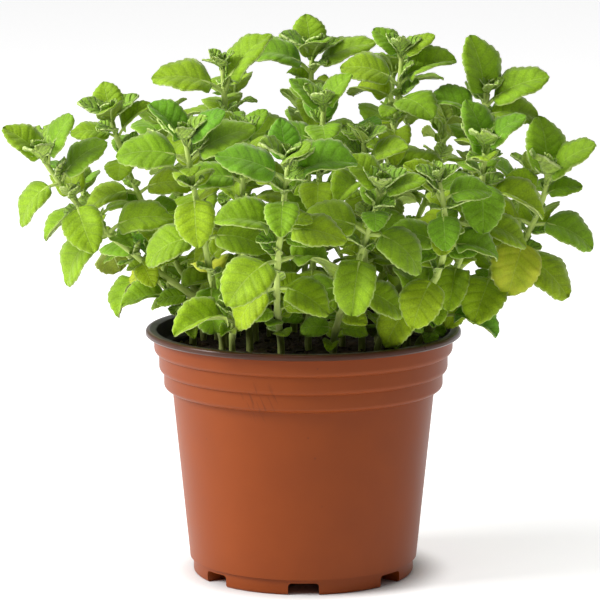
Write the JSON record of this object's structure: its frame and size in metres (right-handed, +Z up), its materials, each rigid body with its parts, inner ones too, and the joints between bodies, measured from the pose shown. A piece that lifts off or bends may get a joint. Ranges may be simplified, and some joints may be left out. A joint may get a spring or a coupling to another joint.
{
  "type": "potted herb",
  "caption": "Bushy broad-leaved potted herb with upright and leaning leafy shoots, growing in a round stepped nursery pot of potting soil.",
  "frame": {"origin": "on the surface that the pot stands on, under the middle of the plant and its pot", "axes": "+Z up, +X along the bush's widest way, -Y the front"},
  "size_m": [0.2417, 0.1899, 0.2293],
  "materials": {
    "pot_plastic": "terracotta brown outside, near black inside, soft sheen",
    "soil": "dark crumbly potting soil, damp",
    "foliage": "soft velvety green leaf"
  },
  "bodies": {
    "root": {"pot": "pot_plastic", "potting_soil": "soil", "shoot_outer_left": "foliage", "shoot_upper_left": "foliage", "shoot_upper_left_centre": "foliage", "shoot_top_centre": "foliage", "shoot_front_left": "foliage", "shoot_front_centre": "foliage", "shoot_centre_right": "foliage", "shoot_right_centre": "foliage", "shoot_upper_right_centre": "foliage", "shoot_upper_centre": "foliage", "shoot_top_right": "foliage", "shoot_front_right": "foliage", "shoot_outer_right": "foliage", "shoot_low_right": "foliage", "shoot_low_left": "foliage", "shoot_low_front": "foliage", "shoot_inner_left": "foliage", "shoot_inner_right": "foliage", "shoot_rear_inner_left": "foliage", "shoot_rear_inner_right": "foliage", "shoot_back_left": "foliage", "shoot_back_centre": "foliage", "shoot_back_right": "foliage", "shoot_far_left": "foliage", "shoot_far_right": "foliage"}
  },
  "joints": []
}
